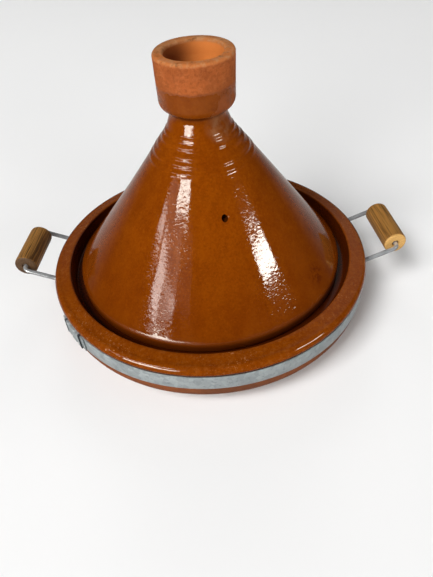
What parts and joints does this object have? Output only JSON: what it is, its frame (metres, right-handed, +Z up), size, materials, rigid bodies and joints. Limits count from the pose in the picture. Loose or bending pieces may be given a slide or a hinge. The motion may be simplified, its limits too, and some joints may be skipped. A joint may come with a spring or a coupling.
{
  "type": "tagine pot",
  "caption": "Conical-lidded clay cooking pot: shallow glazed dish with a steel strap, wire handles with wooden grips, and a tall lid with a steam vent and a cup knob.",
  "frame": {"origin": "centre of the dish's flat base, on the surface that the pot stands on", "axes": "+Z up through the cup, +X towards the right handle, which sits 4 degrees round from it; -Y is the side with the steam vent"},
  "size_m": [0.3813, 0.3, 0.2396],
  "materials": {
    "glazed_clay": "gloss",
    "bare_clay": "matte",
    "galvanised_steel": "satin",
    "seal_steel": "satin",
    "wire_steel": "satin",
    "wood": "satin"
  },
  "bodies": {
    "root": {"dish": "glazed_clay", "strap": "galvanised_steel", "strap_seal": "seal_steel", "right_handle_wire": "wire_steel", "left_handle_wire": "wire_steel"},
    "lid": {"lid": "glazed_clay"},
    "right_grip": {"right_grip": "wood"},
    "left_grip": {"left_grip": "wood"}
  },
  "joints": [
    {"name": "lid_lift", "type": "slide", "parent": "root", "child": "lid", "axis": [0, 0, 1], "range_m": [0, 0.12]},
    {"name": "right_grip_spin", "type": "hinge", "parent": "root", "child": "right_grip", "pos_m": [0.17836, 0.0139, 0.05062], "axis": [-0.0732, 0.9973, 0], "continuous": true},
    {"name": "left_grip_spin", "type": "hinge", "parent": "root", "child": "left_grip", "pos_m": [-0.17641, 0.02135, 0.05006], "axis": [-0.1201, -0.9928, 0], "continuous": true}
  ]
}
